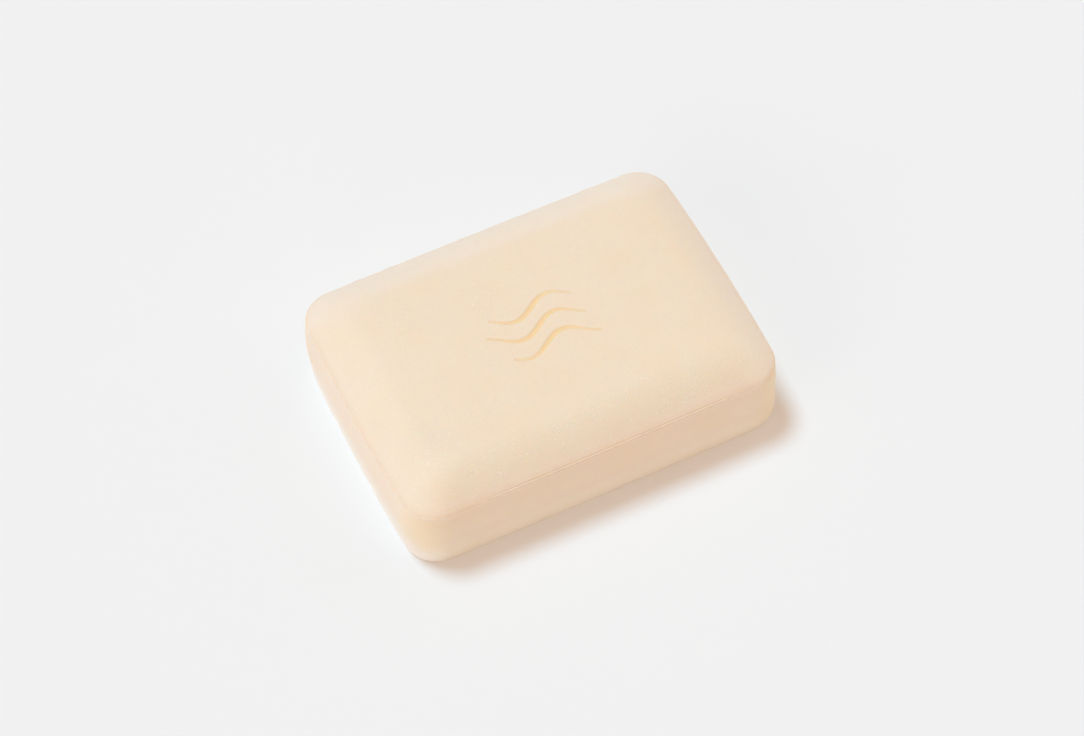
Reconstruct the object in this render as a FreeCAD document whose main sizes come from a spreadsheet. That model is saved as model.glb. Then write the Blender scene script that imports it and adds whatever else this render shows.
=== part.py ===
import FreeCAD, Part
import math
import os
import Sketcher

# Shampoo bar, pressed from a milled billet in a boxed die: millimetres, +Z up.
# The origin is at the middle of the flat base. X runs along the bar and Y across it.
#
# The bar is one solid, with these forms from the floor up:
#   band      the side wall that the box of the die forms: barrelled, with a small radius at its foot;
#   shoulder  the roll from the band to the top, which starts at a slope and goes round the four
#             corners in soft hips;
#   crown     the top that the punch forms: gently domed both ways, up to a level strip;
#   seam      the fine ridge round the bar where soap creeps into the gap between punch and box.
# Every level of the bar has the same kind of outline: four shallow arcs, which bow outwards, joined
# by four tangent corner arcs. A level differs from the next only in its height, in how far it lies
# inside the seam's outline, and in how round its corners are. Smooth skins through these levels
# make the band, the shoulder and the crown.

NODE = "shampoo_bar"

# ------------------------------------------------------------------ driving dimensions
# alias: (value, what it is), with lengths in mm and slopes in degrees from the horizontal
SIZES = {
    "bar_length": (70.0, "seam outline, end to end along the middle of the bar"),
    "bar_width": (49.6, "seam outline, side to side across the middle of the bar"),
    "band_height": (14.2, "floor to the seam plane"),
    "end_bow": (0.70, "how far each short end bows outwards over the bar's width"),
    "side_bow": (0.14, "how far each long side bows outwards over the bar's length"),
    "corner_radius": (6.0, "corner of the seam outline in plan"),
    "foot_inset": (0.40, "how far the base outline lies inside the seam outline"),
    "belly_swell": (0.30, "how far the band stands outside the seam outline at mid height"),
    "foot_radius": (0.25, "rounding between the base and the band"),
    "flank_slope": (50.0, "slope of the shoulder where it leaves the seam"),
    "shoulder_radius": (11.5, "radius that the shoulder rolls over with"),
    "crown_slope": (4.0, "slope at which the shoulder hands over to the crown"),
    "hip_radius": (5.0, "corner in plan at the top of the shoulder"),
    "crown_strip": (8.0, "width of the level strip along the top of the crown"),
    "strip_corner": (3.2, "corner in plan of the level strip"),
    "seam_height": (0.50, "height of the seam's ridge"),
    "seam_drop": (0.05, "how far the ridge reaches below the seam plane"),
    "seam_proud": (0.05, "how far the ridge stands outside the seam outline at its foot"),
    "seam_draft": (28.0, "how far the ridge's face leans inwards, in degrees from the vertical"),
    "seam_radius": (0.10, "rounding of the ridge's upper edge; the lower edge is left crisp"),
}
SHOULDER_STEPS = 6      # spans between the levels that shape the shoulder
CROWN_STEPS = 2         # spans between the levels that shape the crown
LEVEL_TOLERANCE = 0.001

doc = FreeCAD.newDocument("shampoo_bar_model")
sheet = doc.addObject("Spreadsheet::Sheet", "sizes")
for row, (alias, (value, meaning)) in enumerate(SIZES.items(), start=1):
    sheet.set(f"A{row}", meaning)
    sheet.set(f"B{row}", str(value))
    sheet.setAlias(f"B{row}", alias)
doc.recompute()


def size(alias):
    """The value of one driving dimension, as the sheet holds it."""
    return float(sheet.get(alias))


# ------------------------------------------------------------------ levels of the bar
# A level is (height, inset, corner radius), each an expression on the sheet.
SEAM_LEVEL = ("sizes.band_height", "0", "sizes.corner_radius")
FOOT_LEVEL = ("0", "sizes.foot_inset", "sizes.corner_radius - sizes.foot_inset")
BELLY_LEVEL = ("sizes.band_height / 2", "-sizes.belly_swell", "sizes.corner_radius + sizes.belly_swell")
RIDGE_LEVEL = ("sizes.band_height - sizes.seam_drop", "-sizes.seam_proud",
               "sizes.corner_radius + sizes.seam_proud")


def shoulder_level(step):
    """A level on the shoulder, an arc that starts on the seam outline at the flank's slope."""
    share = f"{step} / {SHOULDER_STEPS}"
    slope = f"(sizes.flank_slope + (sizes.crown_slope - sizes.flank_slope) * {share})"
    rise = f"sizes.shoulder_radius * (cos({slope}) - cos(sizes.flank_slope))"
    inset = f"sizes.shoulder_radius * (sin(sizes.flank_slope) - sin({slope}))"
    corner = f"sizes.corner_radius + (sizes.hip_radius - sizes.corner_radius) * {share}"
    return f"sizes.band_height + {rise}", inset, corner


SHOULDER_TOP, SHOULDER_INSET, HIP_CORNER = shoulder_level(SHOULDER_STEPS)
CENTRE_REACH = f"(sizes.bar_width / 2 - ({SHOULDER_INSET}))"    # top of the shoulder to the centre line
STRIP_REACH = f"({CENTRE_REACH} - sizes.crown_strip / 2)"       # top of the shoulder to the level strip


def crown_level(step):
    """A level on the crown, whose slope falls evenly to nothing at the centre line."""
    share = f"{step} / {CROWN_STEPS}"
    reach = f"({STRIP_REACH} * {share})"
    rise = f"tan(sizes.crown_slope) * {reach} * (1 - {reach} / (2 * {CENTRE_REACH}))"
    corner = f"{HIP_CORNER} + (sizes.strip_corner - sizes.hip_radius) * {share}"
    return f"{SHOULDER_TOP} + {rise}", f"{SHOULDER_INSET} + {reach}", corner


# ------------------------------------------------------------------ outline of one level
# radii of the shallow arcs, from the chord that each spans and how far it bows
END_ARC = "((sizes.bar_width / 2) ^ 2 + sizes.end_bow ^ 2) / (2 * sizes.end_bow)"
SIDE_ARC = "((sizes.bar_length / 2) ^ 2 + sizes.side_bow ^ 2) / (2 * sizes.side_bow)"

# the arcs of an outline, by their number in the sketch, and what Sketcher calls their points
RIGHT_END, UPPER_SIDE, LEFT_END, LOWER_SIDE = 0, 2, 4, 6
CORNERS = (1, 3, 5, 7)
START, END, CENTRE = 1, 2, 3
X_AXIS, Y_AXIS, ORIGIN = -1, -2, (-1, 1)


def bow_radius(chord, bow):
    return ((chord / 2) ** 2 + bow ** 2) / (2 * bow)


def arc(centre_x, centre_y, radius, start, end):
    """An arc of a circle, anticlockwise between two angles in radians."""
    circle = Part.Circle(FreeCAD.Vector(centre_x, centre_y, 0), FreeCAD.Vector(0, 0, 1), radius)
    return Part.ArcOfCircle(circle, start, end)


def outline_arcs(inset, corner):
    """The eight arcs, anticlockwise from the +X end, placed where the constraints will hold them."""
    end_arc = bow_radius(size("bar_width"), size("end_bow"))
    side_arc = bow_radius(size("bar_length"), size("side_bow"))
    end_x = size("bar_length") / 2 - inset - end_arc            # centre of the +X end's arc
    side_y = size("bar_width") / 2 - inset - side_arc           # centre of the +Y side's arc
    # A tangent corner's centre lies where two circles cross, one about each of those centres.
    from_end = end_arc - corner
    from_side = side_arc - corner
    apart = math.hypot(end_x, side_y)
    along = (from_end ** 2 - from_side ** 2 + apart ** 2) / (2 * apart)
    across = math.sqrt(from_end ** 2 - along ** 2)
    corner_x = end_x + (-along * end_x - across * side_y) / apart
    corner_y = (along * side_y - across * end_x) / apart
    end_angle = math.atan2(corner_y, corner_x - end_x)          # direction in which end meets corner
    side_angle = math.atan2(corner_y - side_y, corner_x)        # direction in which corner meets side
    arcs = []
    for facing, turned in ((1, 0.0), (-1, math.pi)):            # the second half is the first, turned
        arcs.append(arc(facing * end_x, 0, end_arc, turned - end_angle, turned + end_angle))
        arcs.append(arc(facing * corner_x, facing * corner_y, corner,
                        turned + end_angle, turned + side_angle))
        arcs.append(arc(0, facing * side_y, side_arc,
                        turned + side_angle, turned + math.pi - side_angle))
        arcs.append(arc(-facing * corner_x, facing * corner_y, corner,
                        turned + math.pi - side_angle, turned + math.pi - end_angle))
    return arcs


def origin_plane(body, role):
    return next(item for item in body.Origin.OriginFeatures if item.Role == role)


def bind(sketch, name, value, expression, kind, *geometry):
    """A named dimension of a sketch, which the sheet drives."""
    index = sketch.addConstraint(Sketcher.Constraint(kind, *geometry, value))
    sketch.renameConstraint(index, name)
    sketch.setExpression(f".Constraints.{name}", expression)


def outline_sketch(body, name, level):
    """The bar's outline at one level, as a fully constrained sketch."""
    height, inset, corner = level
    sketch = body.newObject("Sketcher::SketchObject", name)
    sketch.AttachmentSupport = (origin_plane(body, "XY_Plane"), [""])
    sketch.MapMode = "FlatFace"
    sketch.setExpression("AttachmentOffset.Base.z", height)
    sketch.addProperty("App::PropertyFloat", "Inset", "Level", "how far inside the seam outline")
    sketch.addProperty("App::PropertyFloat", "Corner", "Level", "corner radius in plan")
    sketch.setExpression("Inset", inset)
    sketch.setExpression("Corner", corner)
    doc.recompute()

    arcs = outline_arcs(sketch.Inset, sketch.Corner)
    sketch.addGeometry(arcs, False)
    for index in range(len(arcs)):
        following = (index + 1) % len(arcs)
        sketch.addConstraint(Sketcher.Constraint("Tangent", index, END, following, START))
    for index, axis in ((RIGHT_END, X_AXIS), (LEFT_END, X_AXIS), (UPPER_SIDE, Y_AXIS), (LOWER_SIDE, Y_AXIS)):
        sketch.addConstraint(Sketcher.Constraint("PointOnObject", index, CENTRE, axis))
    sketch.addConstraint(Sketcher.Constraint("Equal", RIGHT_END, LEFT_END))
    sketch.addConstraint(Sketcher.Constraint("Equal", UPPER_SIDE, LOWER_SIDE))
    for index in CORNERS[1:]:
        sketch.addConstraint(Sketcher.Constraint("Equal", CORNERS[0], index))

    end_arc = arcs[RIGHT_END].Radius
    side_arc = arcs[UPPER_SIDE].Radius
    bind(sketch, "end_arc", end_arc, END_ARC, "Radius", RIGHT_END)
    bind(sketch, "side_arc", side_arc, SIDE_ARC, "Radius", UPPER_SIDE)
    bind(sketch, "corner", sketch.Corner, corner, "Radius", CORNERS[0])
    # each shallow arc's centre lies on the far side of the origin, so that its middle is in place
    end_back = -arcs[RIGHT_END].Center.x
    side_back = -arcs[UPPER_SIDE].Center.y
    end_rule = f"{END_ARC} - sizes.bar_length / 2 + ({inset})"
    side_rule = f"{SIDE_ARC} - sizes.bar_width / 2 + ({inset})"
    bind(sketch, "right_end_back", end_back, end_rule, "DistanceX", RIGHT_END, CENTRE, *ORIGIN)
    bind(sketch, "left_end_back", end_back, end_rule, "DistanceX", *ORIGIN, LEFT_END, CENTRE)
    bind(sketch, "upper_side_back", side_back, side_rule, "DistanceY", UPPER_SIDE, CENTRE, *ORIGIN)
    bind(sketch, "lower_side_back", side_back, side_rule, "DistanceY", *ORIGIN, LOWER_SIDE, CENTRE)
    return sketch


# ------------------------------------------------------------------ features of the bar
def skin(body, name, levels):
    """A solid with a smooth skin through the outlines of its levels, lowest level first."""
    outlines = [outline_sketch(body, f"{name}_outline_{number}", level)
                for number, level in enumerate(levels)]
    feature = body.newObject("PartDesign::AdditiveLoft", name)
    feature.Profile = outlines[0]
    feature.Sections = outlines[1:]
    feature.Ruled = False
    doc.recompute()
    return feature


def rim_of_level_face(shape, height):
    """Names of the edges round the outside of the level face at one height."""
    rim = []
    for face in shape.Faces:
        box = face.BoundBox
        if max(abs(box.ZMin - height), abs(box.ZMax - height)) < LEVEL_TOLERANCE:
            rim.extend(face.OuterWire.Edges)
    return [f"Edge{number}" for number, edge in enumerate(shape.Edges, start=1)
            if any(edge.isSame(other) for other in rim)]


def rounded(body, name, base, height, radius):
    """A fillet round the outside of the level face at the given height."""
    feature = body.newObject("PartDesign::Fillet", name)
    feature.Base = (base, rim_of_level_face(base.Shape, height))
    feature.setExpression("Radius", radius)
    doc.recompute()
    return feature


def seam_ridge(body):
    """The ridge: a low rim on the seam outline, whose face leans in less than the shoulder does."""
    rim = body.newObject("PartDesign::Pad", "seam_ridge")
    rim.Profile = outline_sketch(body, "seam_ridge_outline", RIDGE_LEVEL)
    rim.setExpression("Length", "sizes.seam_height")
    rim.setExpression("TaperAngle", "-sizes.seam_draft")
    doc.recompute()
    return rim


bar = doc.addObject("PartDesign::Body", NODE)
bar.Label = NODE
bar.Placement = FreeCAD.Placement()

band = skin(bar, "band", [FOOT_LEVEL, BELLY_LEVEL, SEAM_LEVEL])
shoulder = skin(bar, "shoulder", [shoulder_level(step) for step in range(SHOULDER_STEPS + 1)])
crown = skin(bar, "crown", [shoulder_level(SHOULDER_STEPS)]
             + [crown_level(step) for step in range(1, CROWN_STEPS + 1)])
ridge = seam_ridge(bar)
ridge_top = size("band_height") - size("seam_drop") + size("seam_height")
ridge_edge = rounded(bar, "ridge_edge", ridge, ridge_top, "sizes.seam_radius")
foot_edge = rounded(bar, "foot_edge", ridge_edge, 0.0, "sizes.foot_radius")

# ------------------------------------------------------------------ checks, then the file
failed = [item.Name for item in doc.Objects if {"Invalid", "Error"} & set(item.State)]
if failed:
    raise RuntimeError(f"not built: {failed}")

volume = 0.0
for feature in (band, shoulder, crown, ridge):
    print(f"{feature.Name}: {feature.Shape.Volume - volume:.1f} mm3 added")
    if feature.Shape.Volume <= volume:
        raise RuntimeError(f"{feature.Name} adds nothing")
    volume = feature.Shape.Volume
for feature in (ridge_edge, foot_edge):
    print(f"{feature.Name}: {volume - feature.Shape.Volume:.2f} mm3 rounded away")
    if feature.Shape.Volume >= volume:
        raise RuntimeError(f"{feature.Name} rounds nothing")
    volume = feature.Shape.Volume

shape = bar.Shape
if shape.isNull() or not shape.isValid() or len(shape.Solids) != 1:
    raise RuntimeError("the bar isn't one valid solid")
box = shape.optimalBoundingBox()
print(f"bar: {box.XLength:.2f} x {box.YLength:.2f} x {box.ZLength:.2f} mm, {shape.Volume / 1000:.2f} cm3")

os.makedirs("parts", exist_ok=True)
shape.exportStep(f"parts/{NODE}.step")
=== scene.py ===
# %% [markdown]
# # A pressed shampoo bar
# The bar is one block of milled soap, pressed in a die: a flat base, a gently swelling band round
# the side, a fine seam where the two halves of the die met, rolled shoulders and a softly domed top
# with a shallow stamp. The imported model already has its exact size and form. This lesson gives it a
# skin fine enough for close light, the small unevenness of real soap, and the soap's own finish.

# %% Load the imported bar
import math
import bpy
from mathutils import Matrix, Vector


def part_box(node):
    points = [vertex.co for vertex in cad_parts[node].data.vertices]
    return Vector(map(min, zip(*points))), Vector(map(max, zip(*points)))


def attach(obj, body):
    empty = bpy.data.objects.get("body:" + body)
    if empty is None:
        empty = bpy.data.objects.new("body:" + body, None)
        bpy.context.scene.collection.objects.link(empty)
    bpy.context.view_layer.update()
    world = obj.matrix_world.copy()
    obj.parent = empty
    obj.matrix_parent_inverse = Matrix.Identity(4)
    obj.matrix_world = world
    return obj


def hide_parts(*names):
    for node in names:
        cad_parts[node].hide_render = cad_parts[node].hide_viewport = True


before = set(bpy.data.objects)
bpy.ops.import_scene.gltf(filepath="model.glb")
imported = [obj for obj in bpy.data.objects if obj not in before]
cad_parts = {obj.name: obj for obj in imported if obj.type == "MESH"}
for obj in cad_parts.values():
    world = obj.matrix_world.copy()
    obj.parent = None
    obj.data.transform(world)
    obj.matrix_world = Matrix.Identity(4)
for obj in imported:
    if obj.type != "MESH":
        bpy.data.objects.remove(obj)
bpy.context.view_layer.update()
MM = 0.001
low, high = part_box("shampoo_bar")
print("packed bar, mm:", [round((high[axis] - low[axis]) / MM, 2) for axis in range(3)])

# %% [markdown]
# ## Camera
# Soap is usually shown from above and a little to one side, so that the top and two walls are seen
# at once. A long lens from half a metre away keeps the far edge nearly as long as the near one. The
# camera could be aimed by hand; an aim point, a turn, a tilt and a distance say the same thing in
# a few values that can be read again later.

# %% Place the camera
AIM = Vector((1.99, 2.96, 0.0)) * MM         # where the middle of the view meets the floor
TURN, TILT = math.radians(-26.15), math.radians(57.13)
DISTANCE, CLOSEST = 528.2 * MM, 10 * MM
LENS, SENSOR_WIDTH = 100.6, 36               # mm
towards_camera = Vector((math.sin(TURN) * math.cos(TILT), -math.cos(TURN) * math.cos(TILT), math.sin(TILT)))

bpy.ops.object.select_all(action="DESELECT")
bpy.ops.object.camera_add(location=AIM + towards_camera * DISTANCE,
                          rotation=(math.pi / 2 - TILT, 0, TURN))
camera = bpy.context.object
camera.name = "studio_camera"
camera.data.sensor_width = SENSOR_WIDTH
camera.data.lens = LENS
camera.data.clip_start = CLOSEST
bpy.context.scene.camera = camera
print("camera at, mm:", [round(value / MM, 1) for value in camera.location])

# %% [markdown]
# ## Floor
# The bar lies on one plain pale sheet that fills the view. A single large quad is enough, because
# nothing on it shows but the bar's shadow. Its colour alone makes the background, and no lamp is
# turned up for it.

# %% Lay the floor
PAPER, FLOOR_SIZE = (0.88, 0.88, 0.88, 1), 6         # colour, and metres across
bpy.ops.object.select_all(action="DESELECT")
bpy.ops.mesh.primitive_plane_add(size=FLOOR_SIZE, location=(0, 0, low.z))
floor = bpy.context.object
floor.name = "studio_floor"
paper = bpy.data.materials.new("floor_paper")
paper.use_nodes = True
paper_shader = paper.node_tree.nodes["Principled BSDF"]
paper_shader.inputs["Base Color"].default_value = PAPER
paper_shader.inputs["Roughness"].default_value = 1.0
paper_shader.inputs["Specular IOR Level"].default_value = 0.0
floor.data.materials.append(paper)
print("floor:", floor.name)

# %% [markdown]
# ## Light
# Soap lets light in and gives it back a little warmer, so the light round it matters as much as its
# colour. A large lamp stands high behind the bar, and the walls of the room fill the rest. The lamp
# could be an area light, but a sun with a wide angle lights the whole floor alike and still gives
# the shadow a soft edge. The walls are warm and the lamp is cool: together they are white on
# anything that faces up, and only the shadow and the shaded wall turn warm. Three weak suns stand
# for white cards, one at each end and a low one in front. Each light's share of the white is
# written per colour, and the shares add up to one, so a colour comes out as it is written.

# %% Set the lamps
KEY_SHARE = (0.270, 0.430, 0.535)            # of red, green and blue
LEFT_SHARE = (0.053, 0.046, 0.044)
RIGHT_SHARE = (0.080, 0.078, 0.078)
FRONT_SHARE = (0.007, 0.007, 0.007)
WALL_SHARE = (0.590, 0.439, 0.336)


def soft_sun(name, turn, height, width, share):
    """Adds a sun of this angular width, at a bearing and a height in degrees."""
    turn, height = math.radians(turn), math.radians(height)
    towards = Vector((math.cos(turn) * math.cos(height), math.sin(turn) * math.cos(height), math.sin(height)))
    bpy.ops.object.select_all(action="DESELECT")
    bpy.ops.object.light_add(type="SUN", rotation=towards.to_track_quat("Z", "Y").to_euler())
    sun = bpy.context.object
    sun.name = name
    sun.data.angle = math.radians(width)
    sun.data.energy = max(share) * math.pi / math.sin(height)
    sun.data.color = [value / max(share) for value in share]
    print(name, "strength", round(sun.data.energy, 3))


soft_sun("soft_key", turn=124, height=70.1, width=17, share=KEY_SHARE)
soft_sun("left_card", turn=195, height=18, width=50, share=LEFT_SHARE)
soft_sun("right_card", turn=0, height=45, width=60, share=RIGHT_SHARE)
soft_sun("front_card", turn=240, height=12, width=24, share=FRONT_SHARE)

room = bpy.data.worlds.new("white_walls")
bpy.context.scene.world = room
room.use_nodes = True
walls = room.node_tree.nodes["Background"]
walls.inputs["Color"].default_value = [value / max(WALL_SHARE) for value in WALL_SHARE] + [1]
walls.inputs["Strength"].default_value = max(WALL_SHARE)
bpy.context.scene.view_settings.view_transform = "Standard"

# %% [markdown]
# ## Outline of the bar
# Seen from above, each side of the bar is a very shallow arc and each corner a tight one, all
# tangent. The outline could be drawn as a curve, but a vertex spun about the centre of each arc
# gives the true arcs with as many steps as wanted. Where the centres lie follows from the tangents,
# and is worked out first.

# %% Work out the arcs of the seam outline
HALF_LENGTH, HALF_WIDTH = 35.0, 24.8         # of the seam outline, in mm as all sizes from here on
END_BOW, SIDE_BOW, CORNER = 0.70, 0.14, 6.0  # how far ends and sides bow out, and a corner's radius


def bow_radius(half_chord, bow):
    """Radius of the arc over a chord that bows out by this much."""
    return (half_chord ** 2 + bow ** 2) / (2 * bow)


end_radius = bow_radius(HALF_WIDTH, END_BOW)
side_radius = bow_radius(HALF_LENGTH, SIDE_BOW)
end_x = HALF_LENGTH - end_radius             # centre of the end's arc, on the X axis
side_y = HALF_WIDTH - side_radius            # centre of the side's arc, on the Y axis
from_end, from_side = end_radius - CORNER, side_radius - CORNER
apart = math.hypot(end_x, side_y)
along = (from_end ** 2 - from_side ** 2 + apart ** 2) / (2 * apart)
across = math.sqrt(from_end ** 2 - along ** 2)
corner_x = end_x + (-along * end_x - across * side_y) / apart
corner_y = (along * side_y - across * end_x) / apart
end_angle = math.atan2(corner_y, corner_x - end_x)
side_angle = math.atan2(corner_y - side_y, corner_x)
print("a corner's arc has its centre at, mm:", round(corner_x, 2), round(corner_y, 2))

# %% [markdown]
# ## One quarter, and the other three
# The bar is the same on both sides of each of its two middle planes. So one quarter of the outline
# is spun, and the Mirror modifier makes the rest.

# %% Spin a quarter of the seam outline and mirror it
END_STEPS, CORNER_STEPS, SIDE_STEPS = 36, 18, 56
MERGE_WITHIN = 0.001                         # the quarters' ends meet
bpy.ops.object.select_all(action="DESELECT")
bpy.ops.mesh.primitive_plane_add(size=1)
soap = bpy.context.object
soap.name = "soap_bar"
bpy.ops.object.mode_set(mode="EDIT")
bpy.ops.mesh.select_all(action="SELECT")
bpy.ops.mesh.merge(type="CENTER")            # the plane shrinks to the one vertex that is spun
bpy.ops.transform.translate(value=(HALF_LENGTH * MM, 0, 0))
for centre, angle, steps in (((end_x, 0), end_angle, END_STEPS),
                             ((corner_x, corner_y), side_angle - end_angle, CORNER_STEPS),
                             ((0, side_y), math.pi / 2 - side_angle, SIDE_STEPS)):
    bpy.ops.mesh.spin(steps=steps, angle=-angle, axis=(0, 0, 1),
                      center=(centre[0] * MM, centre[1] * MM, 0))
bpy.ops.object.mode_set(mode="OBJECT")


def finish_modifier(name):
    """Makes a modifier's effect part of the mesh."""
    bpy.ops.object.modifier_apply(modifier=name)


mirror = soap.modifiers.new("four_quarters", "MIRROR")
mirror.use_axis = (True, True, False)
mirror.merge_threshold = MERGE_WITHIN * MM
finish_modifier(mirror.name)
print("outline:", len(soap.data.vertices), "vertices,",
      round(max(v.co.x for v in soap.data.vertices) / MM, 2), "by",
      round(max(v.co.y for v in soap.data.vertices) / MM, 2), "mm from the middle")

# %% [markdown]
# ## Foot and band
# A die gives the bar its walls row by row, so the skin is raised in the same way: the last row of
# vertices is extruded upwards and then scaled in or out to the size of the bar at that height. The
# foot is a very small quarter-round. The band above it swells gently, so its rows follow a parabola
# that is widest a little above half its height. A row's size is given as its distance inside the
# seam's outline.

# %% Raise the foot and the band
BAND_HEIGHT, FOOT_INSET, BELLY_SWELL, FOOT_RADIUS = 14.2, 0.40, 0.28, 0.02
FOOT_ROWS, BAND_ROWS, UNDER_SEAM = 3, 17, 0.6        # the seam has rows of its own from here up
OVER_FOOT = (0.02, 0.07, 0.20, 0.45)         # rows that keep the wall's shading upright down to the foot
last_row = {"inset": 0.0, "height": 0.0}


def size_row(inset):
    """Scales the selected row to lie this far inside the seam's outline."""
    bpy.ops.transform.resize(value=((HALF_LENGTH - inset) / (HALF_LENGTH - last_row["inset"]),
                                    (HALF_WIDTH - inset) / (HALF_WIDTH - last_row["inset"]), 1),
                             center_override=(0, 0, 0))
    last_row["inset"] = inset


def raise_row(inset, height):
    """Extrudes the selected row to a new height and size."""
    rise = (height - last_row["height"]) * MM
    bpy.ops.mesh.extrude_region_move(TRANSFORM_OT_translate={"value": (0, 0, rise)})
    last_row["height"] = height
    size_row(inset)


def band_inset(height):
    """The band's parabola, through the foot, the belly and the seam."""
    share = height / BAND_HEIGHT
    bend = 2 * (FOOT_INSET + 2 * BELLY_SWELL)
    return FOOT_INSET - (FOOT_INSET + bend) * share + bend * share ** 2


lean = math.atan((3 * FOOT_INSET + 4 * BELLY_SWELL) / BAND_HEIGHT)      # of the band at the floor
foot_turn = math.pi / 2 - lean
foot_start = FOOT_INSET + FOOT_RADIUS * math.tan(foot_turn / 2)
bpy.ops.object.mode_set(mode="EDIT")
bpy.ops.mesh.select_all(action="SELECT")
size_row(foot_start)
for step in range(1, FOOT_ROWS + 1):
    turn = foot_turn * step / FOOT_ROWS
    raise_row(foot_start - FOOT_RADIUS * math.sin(turn), FOOT_RADIUS * (1 - math.cos(turn)))

foot_top = last_row["height"]
band_rise = BAND_HEIGHT - UNDER_SEAM - foot_top
for rise in OVER_FOOT + tuple(band_rise * step / BAND_ROWS for step in range(1, BAND_ROWS + 1)):
    raise_row(band_inset(foot_top + rise), foot_top + rise)
print("band raised to", round(last_row["height"], 2), "mm, inset there", round(last_row["inset"], 3), "mm")

# %% [markdown]
# ## Seam
# The punch slides into the box of the die with a hair's gap, and the soap creeps into it. That
# leaves a fine ridge round the bar with a crease under it and another behind it. The rows lie much
# closer together here, down to hundredths of a millimetre, because the eye reads this line at once.

# %% Raise the seam
SEAM_ROWS = ((-0.038, 13.70), (-0.026, 13.85), (-0.010, 13.95), (0.012, 14.02), (0.042, 14.075),
             (0.078, 14.120), (0.105, 14.150), (0.118, 14.175), (0.118, 14.200), (0.088, 14.215),
             (0.060, 14.235), (0.055, 14.270), (0.066, 14.310), (0.088, 14.350), (0.120, 14.390),
             (0.160, 14.425), (0.205, 14.460), (0.255, 14.490), (0.300, 14.505), (0.332, 14.520),
             (0.345, 14.550), (0.348, 14.595), (0.362, 14.640), (0.390, 14.682), (0.430, 14.725),
             (0.480, 14.768), (0.540, 14.816), (0.610, 14.870))          # inset, height
for inset, height in SEAM_ROWS:
    raise_row(inset, height)
print(len(SEAM_ROWS), "seam rows, up to", last_row["height"], "mm")

# %% [markdown]
# ## Shoulder and crown
# Above the seam the bar rolls over on one radius, from 50 degrees down to 4, and then runs on as a
# long, nearly flat dome. The rows follow those two curves. Towards the middle they lie closer, so
# that there is enough skin for the stamp to press into. The last, narrow loop is closed with a grid.

# %% Raise the shoulder and the crown, and close the top
FLANK_SLOPE, CROWN_SLOPE = math.radians(50), math.radians(4)
SHOULDER_RADIUS, CROWN_STRIP = 11.5, 8.0
FIRST_INSET, OUTER_REACH = 0.70, 6.0         # where the shoulder's rows start, and the closer rows
SHOULDER_ROWS, OUTER_CROWN_ROWS, INNER_CROWN_ROWS = 18, 10, 40


def shoulder_row(slope):
    """Inset and height where the shoulder has this slope."""
    return (SHOULDER_RADIUS * (math.sin(FLANK_SLOPE) - math.sin(slope)),
            BAND_HEIGHT + SHOULDER_RADIUS * (math.cos(slope) - math.cos(FLANK_SLOPE)))


first_slope = math.asin(math.sin(FLANK_SLOPE) - FIRST_INSET / SHOULDER_RADIUS)
for step in range(SHOULDER_ROWS + 1):
    raise_row(*shoulder_row(first_slope + (CROWN_SLOPE - first_slope) * step / SHOULDER_ROWS))

shoulder_inset, shoulder_top = last_row["inset"], last_row["height"]
centre_reach = HALF_WIDTH - shoulder_inset
strip_reach = centre_reach - CROWN_STRIP / 2
reaches = [OUTER_REACH * step / OUTER_CROWN_ROWS for step in range(1, OUTER_CROWN_ROWS + 1)]
reaches += [OUTER_REACH + (strip_reach - OUTER_REACH) * step / INNER_CROWN_ROWS
            for step in range(1, INNER_CROWN_ROWS + 1)]
for reach in reaches:
    rise = math.tan(CROWN_SLOPE) * reach * (1 - reach / (2 * centre_reach))
    raise_row(shoulder_inset + reach, shoulder_top + rise)
long_side = 2 * SIDE_STEPS + CORNER_STEPS    # edges of the loop that count as one long side
bpy.ops.mesh.fill_grid(span=long_side, offset=0)
print("crown raised to", round(last_row["height"], 2), "mm")

# %% [markdown]
# ## Base
# The base is a flat face inside the quarter-round of the foot. A narrow row just inside its edge
# keeps the flat part flat in the light, because smooth shading would otherwise lean into it.

# %% Close the base
BASE_RIM = 0.4                               # width of the row inside the foot
bpy.ops.mesh.select_all(action="DESELECT")
bpy.ops.mesh.select_non_manifold(extend=False)
bpy.ops.mesh.edge_face_add()
bpy.ops.mesh.inset(thickness=BASE_RIM * MM)
bpy.ops.mesh.select_all(action="SELECT")
bpy.ops.mesh.normals_make_consistent(inside=False)
bpy.ops.object.mode_set(mode="OBJECT")
bpy.ops.object.shade_smooth()
print("skin:", len(soap.data.vertices), "vertices,", len(soap.data.polygons), "faces")

# %% [markdown]
# ## Places on the skin
# The next steps act on some places and not on others: the ridge, the foot, one corner. A place is
# given to Blender as a number for every vertex, from nought to one. It could be painted by hand;
# worked out from the vertex's own place, it is the same each time. A place is a product of slopes,
# and each slope says where it starts and where it ends, in millimetres: x runs to the right along
# the bar, y to the back and z upwards.

# %% Make the helpers for places
def fade(value, start, end):
    """Nought before start, one past end, and a soft slope between."""
    share = min(max((value - start) / (end - start), 0.0), 1.0)
    return share * share * (3 - 2 * share)


def fade_out(value, start, end):
    """One before start, nought past end, and the same soft slope."""
    return 1 - fade(value, start, end)


def near(spot, centre, reach):
    """One at a centre and nought a reach away from it."""
    return fade_out((spot - Vector(centre)).length, 0.0, reach)


def inset_of(spot):
    """Distance inside the seam's outline: to a side's arc, an end's arc or a corner's."""
    x, y = abs(spot.x), abs(spot.y)
    if x > corner_x and y > corner_y:
        return CORNER - math.hypot(x - corner_x, y - corner_y)
    return min(end_radius - math.hypot(x - end_x, y), side_radius - math.hypot(x, y - side_y))


def over_skin(share):
    """A share for every vertex, worked out from its place in mm."""
    return [min(max(share(vertex.co / MM), 0.0), 1.0) for vertex in soap.data.vertices]


print("the middle lies", round(inset_of(Vector((0, 0, 0))), 2), "mm inside the outline")

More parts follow.
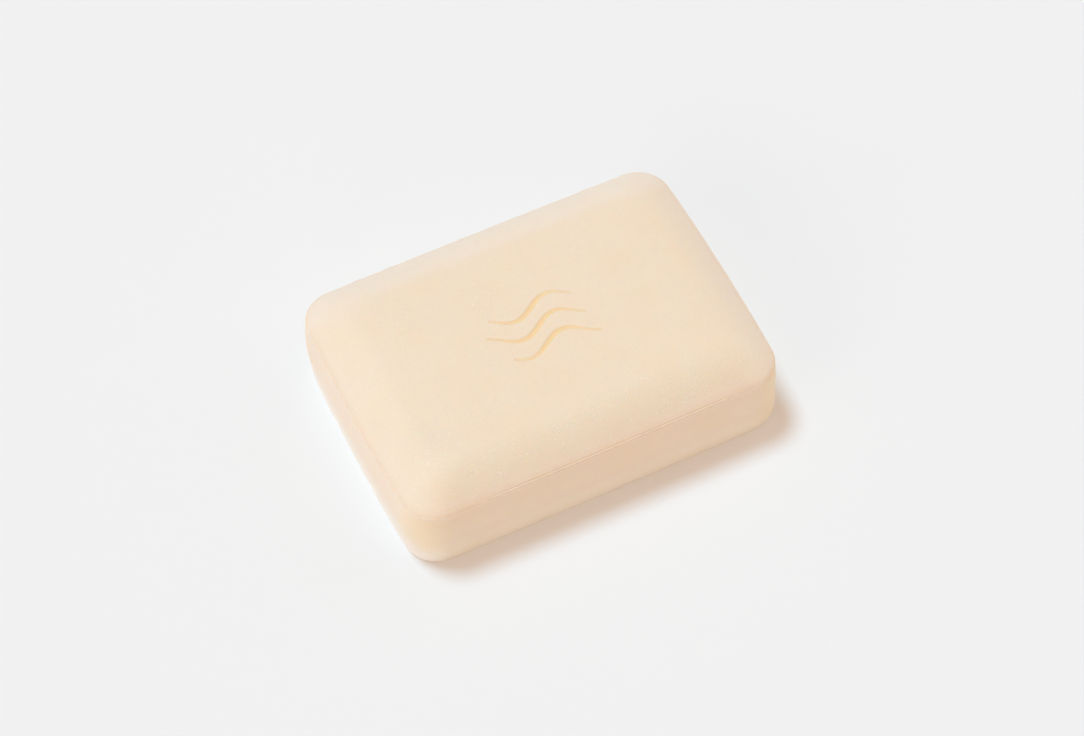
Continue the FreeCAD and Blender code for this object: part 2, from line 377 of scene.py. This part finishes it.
# %% [markdown]
# ## Pushing the skin
# The Displace modifier moves the skin along its normals, by an even depth or by a Clouds pattern,
# and a vertex group says where. Along the normals the lowest rows would go down through the floor,
# so the foot is moved on a level instead, to each side by its share of the way from the middle.

# %% Make the helpers that push
FAINTEST = 0.001                             # a smaller share isn't worth a place in a group


def add_group(name, shares):
    """Makes a vertex group of the shares and gives back its name."""
    group = soap.vertex_groups.new(name=name)
    for index, share in enumerate(shares):
        if share > FAINTEST:
            group.add([index], share, "REPLACE")
    print(name, "takes in", sum(share > FAINTEST for share in shares), "vertices")
    return name


def push(name, shares, depth, grain=None, along="NORMAL"):
    """Moves the skin out by a depth in mm, or in if it is negative, all over or by a cloud pattern."""
    modifier = soap.modifiers.new(name, "DISPLACE")
    modifier.vertex_group, modifier.direction = add_group(name, shares), along
    modifier.strength, modifier.mid_level = depth * MM, 0.0
    if grain:
        clouds = bpy.data.textures.new(name, "CLOUDS")
        clouds.noise_scale, clouds.noise_depth = grain * MM, 1
        modifier.texture, modifier.texture_coords = clouds, "LOCAL"
    finish_modifier(modifier.name)


def push_level(name, shares, depth, grain=None):
    """The same, but straight away from the middle of the bar on a level, as scaling a row does."""
    for side, along, sign, half in (("right", "X", 1, HALF_LENGTH), ("left", "X", -1, HALF_LENGTH),
                                    ("far", "Y", 1, HALF_WIDTH), ("near", "Y", -1, HALF_WIDTH)):
        axis = "XY".index(along)
        reach = [share * max(sign * vertex.co[axis] / (half * MM), 0.0)
                 for vertex, share in zip(soap.data.vertices, shares)]
        push(f"{name}_{side}", reach, sign * depth, grain, along)


print("a push takes a share for each of", len(soap.data.vertices), "vertices")

# %% [markdown]
# ## Where the seam is soft
# The seam is crisp along the long sides. The left end and the right-hand corner were rubbed when the
# bar was wrapped, and there the creases have closed up into one soft edge. The Smooth modifier could
# do this, but it also draws a rounded corner inwards. So the creases are filled outwards to the
# height of the ridge, by just the depth that each row lacks.

# %% Soften the seam
FULL_CREASE = 0.12                           # the deepest that a crease is filled
WALL_INSET, EDGE_BEND = -0.035, 0.10         # of the wall under the seam, and how gently the edge turns
EDGE_PROUD, UNDERCUT = 0.035, 0.84           # how far the edge stands out, and its run back below the seam
row_insets = {height: inset for inset, height in SEAM_ROWS}


def in_seam(spot):
    """The ridge and both its creases."""
    return fade(spot.z, 13.6, 14.0) * fade_out(spot.z, 14.9, 15.4)


def rubbed(spot):
    """The seam of the left end and of the right-hand corner."""
    left_end = fade_out(spot.x, -28.0, -14.0)
    right_corner = fade(spot.x, 20.0, 27.0) * fade_out(spot.y, -20.0, -12.0)
    return in_seam(spot) * max(left_end, 0.9 * right_corner)


def soft_edge(height):
    """Inset of an edge with no creases: the wall's line running round into the shoulder's."""
    above, below = max(height - BAND_HEIGHT, 0.0), min(height - BAND_HEIGHT, 0.0)
    slope = math.acos(min(above / SHOULDER_RADIUS + math.cos(FLANK_SLOPE), 1.0))
    shoulder = SHOULDER_RADIUS * (math.sin(FLANK_SLOPE) - math.sin(slope)) + below * UNDERCUT
    past_wall = shoulder - EDGE_PROUD * fade_out(height, 14.5, 14.9) - WALL_INSET
    return WALL_INSET + (past_wall + math.hypot(past_wall, EDGE_BEND)) / 2


def lacking(spot):
    """How far the creases lie inside the soft edge here, as a share of the full crease."""
    row = round(spot.z, 3)
    if row not in row_insets:
        return 0.0
    return rubbed(spot) * (row_insets[row] - soft_edge(row)) / FULL_CREASE


push_level("filled_crease", over_skin(lacking), depth=FULL_CREASE)

# %% [markdown]
# ## Unevenness
# Milled soap is firm but never true. The ridge stands a little higher here and lower there, with a
# few crumbs left on the far side, the foot has spread a little on its tray, and the walls and
# shoulders roll by a few hundredths. Clouds patterns of a few millimetres give most of this. The
# right-hand corner filled the die better than the others, so its foot is pushed out. The foot
# starts well inside the ridge and no push takes it as far, so the bar stays within its packed size.

# %% Make the ridge, the foot and the walls uneven
CRUMBS = ((-22.7, 1.0, 0.55), (-16.6, 1.5, 0.35), (-3.0, 1.1, 0.2),
          (7.0, 1.3, 0.3), (20.9, 1.7, 0.35))        # x, reach, share
CRUMB_EDGE = 24.0                            # the crumbs lie past this y
FULL_CORNER = (33.9, -23.8, 0)               # foot of the right-hand corner


def plan(spot):
    """The place on the floor straight below a spot."""
    return Vector((spot.x, spot.y, 0))


def on_ridge(spot):
    """From the ridge's foot up to the crease behind it."""
    return fade(spot.z, 14.23, 14.32) * fade_out(inset_of(spot), 0.22, 0.30)


def on_crumb(spot):
    """Short stretches of the far side's ridge."""
    if spot.y < CRUMB_EDGE:
        return 0.0
    return in_seam(spot) * max(share * fade_out(abs(spot.x - x), 0.0, reach) for x, reach, share in CRUMBS)


def on_foot(spot):
    """The lowest two millimetres."""
    return fade_out(spot.z, 0.1, 2.2)


def on_wall(spot):
    """All the wall but its foot and the last of it under the seam."""
    return fade(spot.z, 0.3, 3.0) * fade_out(spot.z, 13.0, 14.0)


def on_full_corner(spot):
    """The foot of the right-hand corner, which filled the die better than the others."""
    return near(plan(spot), FULL_CORNER, 5.0) * fade_out(spot.z, 0.5, 9.5)


def on_shoulder(spot):
    """From over the seam to where the crown begins."""
    return fade(spot.z, 14.8, 15.6) * fade_out(spot.z, 18.1, 18.5)


push("ridge_high_and_low", over_skin(lambda spot: on_ridge(spot) * (1 - rubbed(spot))), depth=0.07, grain=2.2)
push("ridge_crumbs", over_skin(on_crumb), depth=0.28)
push_level("spread_foot", over_skin(on_foot), depth=0.26, grain=4.0)
push("rolling_wall", over_skin(on_wall), depth=-0.14, grain=7.0)
push_level("full_corner", over_skin(on_full_corner), depth=0.80)
push("rolling_shoulder", over_skin(on_shoulder), depth=-0.09, grain=5.0)
push("dried_crown", over_skin(lambda spot: fade(spot.z, 18.3, 18.8)), depth=-0.004)     # by a hair

# %% [markdown]
# ## Nicks
# Two small marks that a careful hand would still find: a short notch in the seam at the right-hand
# corner, and a fingernail's curved touch on the top.

# %% Press the nicks
NOTCH_AT, NOTCH_REACH = (32.2, -23.4, 14.6), 0.9
NAIL_CENTRE, NAIL_RADIUS, NAIL_BEARING = Vector((19.9, -9.3, 0)), 4.0, -58


def on_nail_mark(spot):
    """A thin arc, fading to both ends."""
    reach = plan(spot) - NAIL_CENTRE
    bearing = math.degrees(math.atan2(reach.y, reach.x))
    line = fade_out(abs(reach.length - NAIL_RADIUS), 0.05, 0.32)
    return line * fade_out(abs(bearing - NAIL_BEARING), 4, 15) * fade(spot.z, 17, 18)


push("corner_notch", over_skin(lambda spot: near(spot, NOTCH_AT, NOTCH_REACH)), depth=-0.14)
nail_mark = over_skin(on_nail_mark)
push("nail_mark", nail_mark, depth=-0.06)

# %% [markdown]
# ## Stamp
# The die's upper half carries a raised design, which presses a shallow hollow into the top. This bar
# has three running waves, for water. A stroke of the design has a centre line and a width that
# swells in the middle and thins to both ends. Cutting it with a boolean would leave hard walls; real
# soap closes softly round the die, so each vertex is pushed down by how near it lies to a stroke.

# %% Press the stamp
WAVE_LENGTH, WAVE_HEIGHT, WAVE_STEPS = 14.0, 1.55, 90
WAVES = ((-7.2, 7.6, 3.9, 0.4), (-9.0, 8.2, 0.0, 0.0),
         (-6.6, 9.0, -3.9, -0.4))            # from x, to x, at y, slid by
STROKE_WIDE, STROKE_FINE, STAMP_DEPTH = 0.46, 0.20, 0.25
STROKE_FLAT, STROKE_LIP = 0.35, 1.5          # the hollow's flat and its lip, in half widths
STAMP_LENGTH, STAMP_WIDTH, TOP_FROM = 10.5, 7, 17    # nothing is stamped further out or lower than this


def wave_points(start, end, middle, slide):
    """Points along one stroke, each with the stroke's half width there."""
    for step in range(WAVE_STEPS + 1):
        share = step / WAVE_STEPS
        x = start + (end - start) * share
        y = middle + WAVE_HEIGHT * math.sin(2 * math.pi * (x - slide) / WAVE_LENGTH)
        yield x, y, STROKE_FINE + (STROKE_WIDE - STROKE_FINE) * math.sin(math.pi * share) ** 2


strokes = [point for wave in WAVES for point in wave_points(*wave)]


def hollow(spot, x, y, half):
    """How deep one point of a stroke is pressed here: a fine stroke goes less deep than a wide one."""
    distance = math.hypot(spot.x - x, spot.y - y)
    return fade_out(distance, half * STROKE_FLAT, half * STROKE_LIP) * (0.5 + 0.5 * half / STROKE_WIDE)


def in_stamp(spot):
    """How deep the stamp is here, against its deepest."""
    if spot.z < TOP_FROM or abs(spot.x) > STAMP_LENGTH or abs(spot.y) > STAMP_WIDTH:
        return 0.0
    return max(hollow(spot, *point) for point in strokes)


stamp = over_skin(in_stamp)
push("wave_stamp", stamp, depth=-STAMP_DEPTH)

# %% [markdown]
# ## Where the finish is marked
# Some of the soap's colours belong to a place, and some stand for light: the stamp and the creases
# are painted warmer as painted shade, the ridge is darkened in patches, and dust and pale specks,
# which also stand in for glints, gather on the shoulders, with scuffs low on the front wall. An
# attribute of the skin carries each place to the material, as a vertex group did to a modifier.

# %% Mark the creases, the ridge, the dust and the scuffs
def add_mask(name, shares):
    """Makes an attribute of the skin from the shares."""
    mask = soap.data.attributes.new(name, "FLOAT", "POINT")
    mask.data.foreach_set("value", shares)


def in_crease(spot):
    """Faint in both creases along the sides, and full in the one at the right-hand corner."""
    lower = fade_out(abs(spot.z - 14.19), 0.03, 0.08) * fade(inset_of(spot), 0.03, 0.10)
    upper = fade_out(abs(spot.z - 14.57), 0.05, 0.14) * fade(inset_of(spot), 0.27, 0.33)
    corner = fade_out(abs(spot.z - 14.25), 0.10, 0.28) * fade(spot.x, 29.5, 31.5)
    return max(0.4 * lower, 0.4 * upper, corner * fade_out(spot.y, -20.0, -15.0))


def on_ridge_face(spot):
    """The ridge between its two creases."""
    return fade(spot.z, 14.22, 14.32) * fade_out(spot.z, 14.50, 14.60)


def dust_and_glint_place(spot):
    """Where dust and pale specks gather, the specks also painted as glints: most on the front shoulder and
    the left hip.
    """
    over_seam = fade(spot.z, 14.6, 15.2)
    shoulder = fade(spot.z, 14.7, 15.6)
    front = fade_out(abs(spot.y + 20.6), 1.5, 5.0) * fade_out(abs(spot.x), 24, 31) * shoulder
    hip = near(spot, (-26.5, -12.0, 17.5), 7.5)
    top_left = 0.55 * near(spot, (-19, 10, 18), 6.0)
    far = 0.7 * fade(spot.y, 18.5, 22.5) * over_seam
    right = 0.6 * fade(spot.x, 29.0, 32.5) * over_seam
    round_stamp = 0.35 * near(spot, (-6, 9, 18.5), 9.0)
    return max(front, hip, top_left, far, right, round_stamp, 0.12 * shoulder)


def scuffed(spot):
    """The lower edge of the front wall, rubbed white where the bar was handled."""
    front = fade(-spot.y, 23.5, 24.2)
    return front * fade(spot.x, -9, -3) * fade_out(spot.x, 17, 24) * fade_out(spot.z, 2.0, 6.5)


add_mask("stamp", stamp)
add_mask("nail_line", nail_mark)
for name, share in {"crease": in_crease, "ridge": on_ridge_face, "dust_and_glints": dust_and_glint_place, "scuff": scuffed}.items():
    add_mask(name, over_skin(share))
print("marked:", [attribute.name for attribute in soap.data.attributes if attribute.data_type == "FLOAT"])

# %% [markdown]
# ## Where the soap is paler or deeper
# Here light is painted into the colour. The left end, which the left card lights, is painted paler,
# and the foot there most of all; the near corner is painted lighter and yellower, and the right-hand
# corner, which the light shines through, is painted deeper as a painted glow. A pale painted sheen
# lies on the far and the right shoulder, and faintly on the left.

# %% Mark the pale and the deep places
NEAR_CORNER = (-34.0, -24.0, 0.0)            # foot of the near corner of the left end


def below_seam(spot):
    """All the wall."""
    return fade_out(spot.z, 13.6, 14.2)


def corner_glow(spot):
    """The wall of the right-hand corner, painted deeper as a glow of the light that shines through it."""
    corner = fade_out(math.hypot(spot.x - 34, spot.y + 23), 1.5, 6.5)
    return corner * below_seam(spot) * fade(spot.z, 0.3, 3.0)


def dry_end(spot):
    """The left end and the near corner's foot, painted paler as painted light, the foot more than the top."""
    end = 0.75 * fade_out(spot.x, -34.6, -32.0)
    near_corner = 0.9 * near(spot, NEAR_CORNER, 7.0)
    return max(end, near_corner) * fade_out(spot.z, 2.0, 9.0)


def lit_near_corner(spot):
    """The near corner of the left end, painted a little lighter and yellower than the walls beside it as
    painted light.
    """
    return near(plan(spot), NEAR_CORNER, 7.5) * fade(spot.z, 1.5, 5.0) * below_seam(spot)


def pale_end(spot):
    """The wall of the left end, painted paler as painted light from the left."""
    return fade_out(spot.x, -34.8, -32.3) * fade_out(spot.z, 13.9, 14.5)


def left_shoulder(spot):
    """The shoulder over the left end, tinted lighter as painted light from the left."""
    return fade_out(spot.x, -34.0, -26.0) * fade(spot.z, 14.0, 14.4)


def painted_sheen(spot):
    """A painted sheen on the far, the right and, more faintly, the left shoulder."""
    rim = max(fade(spot.y, 13.5, 20.0), 0.65 * fade(spot.x, 26.5, 32.0), 0.5 * fade(-spot.x, 28.0, 33.0))
    return rim * fade(spot.z, 13.9, 14.2) * fade_out(spot.z, 17.7, 18.5)


for share in (corner_glow, dry_end, lit_near_corner, pale_end, left_shoulder, painted_sheen):
    shares = over_skin(share)
    add_mask(share.__name__, shares)
    print(share.__name__, "takes in", sum(value > FAINTEST for value in shares), "vertices")

# %% [markdown]
# ## Soap
# Milled soap is dense, pale and slightly waxy: light goes in a millimetre or so and comes out
# softer, which is what subsurface scattering is for. A plain colour with a little gloss would look
# like painted plaster. The scatter is set on the shader, red furthest and blue least.

# %% Start the soap finish
SCATTER_REACH = (1.5, 0.8, 0.4)              # mm, of red, green and blue
WAX_IOR = 1.45
finish = bpy.data.materials.new("milled_soap")
finish.use_nodes = True
nodes, links = finish.node_tree.nodes, finish.node_tree.links
shader = nodes["Principled BSDF"]
shader.subsurface_method = "RANDOM_WALK"
shader.inputs["Subsurface Radius"].default_value = SCATTER_REACH
shader.inputs["Subsurface Scale"].default_value = MM
shader.inputs["IOR"].default_value = WAX_IOR
soap.data.materials.append(finish)
print("material:", finish.name)

# %% [markdown]
# ## Nodes in few words
# The colour, the roughness and the fine relief come from patterns on the bar's own coordinates, in
# millimetres. Wired one node at a time they would take pages. A few helpers, each of which adds a
# node and gives back its output, let a pattern be written much as it is thought of.

# %% Make the helpers for nodes
def connect(value, socket):
    """Gives a socket a number, a colour or another node's output."""
    if isinstance(value, bpy.types.NodeSocket):
        links.new(value, socket)
    else:
        socket.default_value = value


def place(node_type, output, inputs, **settings):
    """Adds a node, sets it, fills its inputs and gives back one of its outputs."""
    node = nodes.new(node_type)
    for name, value in settings.items():
        setattr(node, name, value)
    for name, value in inputs.items():
        connect(value, node.inputs[name])
    return node.outputs[output]


def reckon(operation, *values):
    """Arithmetic on numbers and outputs."""
    node = nodes.new("ShaderNodeMath")
    node.operation = operation
    for value, socket in zip(values, node.inputs):
        connect(value, socket)
    return node.outputs[0]


def climb(value, start, end, lowest=0.0, highest=1.0):
    """A soft slope between two values, as fade is in the mesh, up or down."""
    return place("ShaderNodeMapRange", "Result", {"Value": value, "From Min": start, "From Max": end,
                                                  "To Min": lowest, "To Max": highest},
                 interpolation_type="SMOOTHSTEP")


def cloud(size, detail=2.0, roughness=0.5):
    """A cloud pattern whose blots are about this many mm across."""
    return place("ShaderNodeTexNoise", "Fac", {"Vector": in_mm, "Scale": 1 / size, "Detail": detail,
                                               "Roughness": roughness})


def read_mask(name, part=None):
    """A place that the skin carries, in full or in part."""
    mask = place("ShaderNodeAttribute", "Fac", {}, attribute_name=name)
    return reckon("MULTIPLY", mask, part) if part else mask


FOOT_SCATTER, BODY_SCATTER = 0.05, 0.35      # the dry foot scatters least
coordinates = place("ShaderNodeTexCoord", "Object", {})
in_mm = place("ShaderNodeMapping", "Vector", {"Vector": coordinates, "Scale": (1 / MM, 1 / MM, 1 / MM)})
above_floor = place("ShaderNodeSeparateXYZ", "Z", {"Vector": in_mm})
connect(climb(above_floor, 0.5, 6.0, FOOT_SCATTER, BODY_SCATTER), shader.inputs["Subsurface Weight"])
print("nodes so far:", len(nodes))

# %% [markdown]
# ## Colour by height, and mottling
# The bar is not one cream: the wall is peach and the top a warm cream. Light is painted into the
# run as well: the wall is painted paler down to the foot, where the floor shades it, a pale line
# just under the seam is a painted highlight on its lip, a deeper band over the seam is painted shade,
# and the shoulder above it is painted a little whiter, a painted sheen. A colour ramp on the height
# gives that run. Over it lie large and small faint clouds of peach, as the soap came from the mill.

# %% Colour the soap by height
# painted light: paler towards the foot, a painted highlight under the seam, painted shade over it, a painted
# sheen on the shoulder
TONES_AND_PAINTED_LIGHT = ((0.0, (0.995, 0.945, 0.830)), (2.5, (0.985, 0.888, 0.752)), (6.0, (0.934, 0.789, 0.641)),
         (10.0, (0.920, 0.769, 0.598)), (13.6, (0.905, 0.753, 0.586)), (13.95, (0.944, 0.802, 0.658)),
         (14.10, (0.944, 0.802, 0.658)), (14.25, (0.893, 0.734, 0.584)), (14.45, (0.867, 0.711, 0.566)),
         (14.75, (0.873, 0.716, 0.565)), (15.4, (0.900, 0.752, 0.605)), (16.6, (0.893, 0.748, 0.588)),
         (18.4, (0.894, 0.743, 0.578)))      # height in mm, colour
TONE_TOP = 20.0
PEACH_CLOUD, SMALL_CLOUD = (1.0, 0.985, 0.960), (1.0, 0.990, 0.970)     # tints
SMALL_CLOUD_PART = 0.35


def blend(share, first, second, mode="MIX"):
    """Mixes two colours by a share."""
    node = nodes.new("ShaderNodeMix")
    node.data_type, node.blend_type = "RGBA", mode
    connect(share, node.inputs[0])
    connect(first, node.inputs[6])
    connect(second, node.inputs[7])
    return node.outputs[2]


def tint(share, colour, by):
    """Multiplies a colour by a tint, as far as the share says."""
    return blend(share, colour, blend(1.0, colour, (*by, 1), "MULTIPLY"))


ramp = nodes.new("ShaderNodeValToRGB")
while len(ramp.color_ramp.elements) < len(TONES_AND_PAINTED_LIGHT):
    ramp.color_ramp.elements.new(0.5)
for element, (at, tone) in zip(ramp.color_ramp.elements, TONES_AND_PAINTED_LIGHT):
    element.position, element.color = at / TONE_TOP, (*tone, 1)
connect(reckon("DIVIDE", above_floor, TONE_TOP), ramp.inputs["Fac"])

colour = tint(climb(cloud(9.0), 0.32, 0.68), ramp.outputs["Color"], PEACH_CLOUD)
colour = tint(reckon("MULTIPLY", climb(cloud(2.2), 0.3, 0.7), SMALL_CLOUD_PART), colour, SMALL_CLOUD)
print("tones by height:", len(TONES_AND_PAINTED_LIGHT))

# %% [markdown]
# ## Colour by place
# Now the marked places take their colours. A tint only leans the soap's own colour one way, and
# suits dust, the ridge darkened in patches and the left shoulder tinted lighter as painted light.
# A paint covers it, in part or in full. It gives the stamp and the creases a warm, deep painted
# shade, the left end and the near corner their painted light, the right-hand corner its painted glow
# and the shoulders their painted sheen.

# %% Colour the marked places
DUSTY_TINT, LEFT_LIGHT_TINT, RIDGE_DARK_TINT = (0.970, 0.982, 0.970), (1.028, 1.034, 1.022), (0.970, 0.962, 0.958)
LEFT_LIGHT_PEACH, CORNER_LIGHT_CREAM, FOOT_LIGHT_PALE = (0.988, 0.843, 0.703), (0.985, 0.841, 0.610), (0.992, 0.942, 0.878)
SHEEN_PINK, STAMP_SHADE_GOLD, CREASE_SHADE_GOLD = (0.905, 0.818, 0.735), (0.955, 0.692, 0.372), (0.890, 0.655, 0.400)
CORNER_GLOW_AMBER = (0.985, 0.795, 0.530)


def paint(share, colour, by):
    """Covers a colour with a paint, as far as the share says."""
    return blend(share, colour, (*by, 1))


colour = tint(read_mask("dust_and_glints"), colour, DUSTY_TINT)
# painted light: the wall of the left end is painted paler
colour = paint(read_mask("pale_end", part=0.80), colour, LEFT_LIGHT_PEACH)
# painted light: the near corner is painted lighter and yellower
colour = paint(read_mask("lit_near_corner", part=0.80), colour, CORNER_LIGHT_CREAM)
# painted light: the foot of the left end and of the near corner painted paler, the left shoulder tinted
# lighter
colour = paint(read_mask("dry_end"), colour, FOOT_LIGHT_PALE)
colour = tint(read_mask("left_shoulder"), colour, LEFT_LIGHT_TINT)
# painted sheen: the far, right and left shoulders are painted paler and pinker
colour = paint(read_mask("painted_sheen", part=0.40), colour, SHEEN_PINK)
# painted shade: the stamp's hollow and the creases are painted a warm, deep gold
colour = paint(read_mask("stamp"), colour, STAMP_SHADE_GOLD)
colour = paint(read_mask("crease", part=0.60), colour, CREASE_SHADE_GOLD)
# the ridge's colour is darkened in patches by a cloud
ridge_darkening = reckon("MULTIPLY", read_mask("ridge"), climb(cloud(1.1), 0.44, 0.56))
colour = tint(ridge_darkening, colour, RIDGE_DARK_TINT)
# painted glow: the right-hand corner, which the light shines through, is painted a deeper orange
colour = paint(read_mask("corner_glow", part=0.65), colour, CORNER_GLOW_AMBER)
print("nodes so far:", len(nodes))

# %% [markdown]
# ## Specks and scuffs
# Dry crumbs of soap cling to the shoulders as tiny white specks, thick in some patches and absent in
# others, and a few brighter ones lie round the stamp. The white specks also stand in for the glints
# of the grain, a painted highlight. A Voronoi pattern gives one dot to each small cell; only some
# cells keep theirs, and only where the dust mask and a patchy cloud agree. Scuffs are streaks of the
# same pale dry soap.

# %% Add specks and scuffs
CELLS_PER_MM = 3.1
PALE_SOAP_AND_GLINT = (0.970, 0.890, 0.790)
SPECK_PART, SCUFF_PART, NAIL_PART = 0.75, 0.6, 0.7   # how far each covers the soap


def pick(channel, start, end):
    """Picks the cells whose random number lies above a mark."""
    return climb(place("ShaderNodeSeparateColor", channel, {"Color": cells.outputs["Color"]}), start, end)


cells = nodes.new("ShaderNodeTexVoronoi")
connect(in_mm, cells.inputs["Vector"])
connect(CELLS_PER_MM, cells.inputs["Scale"])
dots = climb(cells.outputs["Distance"], 0.48, 0.22)
patches = reckon("MULTIPLY", read_mask("dust_and_glints"), climb(cloud(3.0), 0.42, 0.58))
# painted highlight: the white specks also stand in for glints of the grain
specks = reckon("MULTIPLY", reckon("MULTIPLY", dots, pick("Red", 0.46, 0.60)), patches)
bright = reckon("MULTIPLY", reckon("MULTIPLY", dots, pick("Green", 0.970, 0.982)),
                climb(read_mask("dust_and_glints"), 0.05, 0.30))
streaks = reckon("MULTIPLY", climb(cloud(0.7, 4.0, 0.7), 0.52, 0.66), climb(cloud(4.5, 1.0), 0.48, 0.60))
scuffs = reckon("MULTIPLY", streaks, read_mask("scuff"))

pale_marks_and_glints = reckon("MAXIMUM", reckon("MULTIPLY", specks, SPECK_PART), reckon("MULTIPLY", scuffs, SCUFF_PART))
pale_marks_and_glints = reckon("MAXIMUM", pale_marks_and_glints, reckon("MAXIMUM", bright, read_mask("nail_line", NAIL_PART)))
# the specks, partly painted glints, and the scuffs and the nail line are painted pale
colour = paint(pale_marks_and_glints, colour, PALE_SOAP_AND_GLINT)
print("cells across the bar:", round(2 * HALF_LENGTH * CELLS_PER_MM))

# %% [markdown]
# ## Grain, gloss and relief
# The grain of the milled soap is finer than the specks and shows mostly as relief, with a little
# light and dark in the colour. Where the soap is dry it is duller. The relief adds up the grain, a
# slower roll, the specks that stand on the skin and the pores between them, each in millimetres.

# %% Add the grain and the relief
DARK_GRAIN, PALE_GRAIN = (0.978, 0.976, 0.973), (1.020, 1.018, 1.020)   # tints
SMOOTHEST, ROUGHEST, DRY_ROUGHNESS = 0.44, 0.56, 0.2
GRAIN_HEIGHT, ROLL_HEIGHT, SPECK_HEIGHT, PORE_DEPTH = 0.022, 0.030, 0.05, 0.03      # mm

grain = cloud(0.28, 3.0, 0.7)
dark, pale = (blend(1.0, colour, (*by, 1), "MULTIPLY") for by in (DARK_GRAIN, PALE_GRAIN))
connect(blend(climb(grain, 0.32, 0.68), dark, pale), shader.inputs["Base Color"])

roughness = reckon("ADD", climb(grain, 0.3, 0.7, SMOOTHEST, ROUGHEST), reckon("MULTIPLY", pale_marks_and_glints, DRY_ROUGHNESS))
connect(roughness, shader.inputs["Roughness"])

pores = climb(cloud(0.55), 0.62, 0.80)
relief = reckon("ADD", reckon("MULTIPLY", grain, GRAIN_HEIGHT), reckon("MULTIPLY", cloud(1.6), ROLL_HEIGHT))
relief = reckon("ADD", relief, reckon("MULTIPLY", specks, SPECK_HEIGHT))
relief = reckon("SUBTRACT", relief, reckon("MULTIPLY", pores, read_mask("dust_and_glints", PORE_DEPTH)))
relief = reckon("MULTIPLY", relief, MM)
bump = place("ShaderNodeBump", "Normal", {"Height": relief, "Strength": 1.0, "Distance": 1.0})
connect(bump, shader.inputs["Normal"])
print("nodes in the finish:", len(nodes))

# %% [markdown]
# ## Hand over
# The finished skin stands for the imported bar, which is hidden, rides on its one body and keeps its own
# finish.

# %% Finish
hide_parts("shampoo_bar")
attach(soap, "root")
bpy.context.view_layer.update()
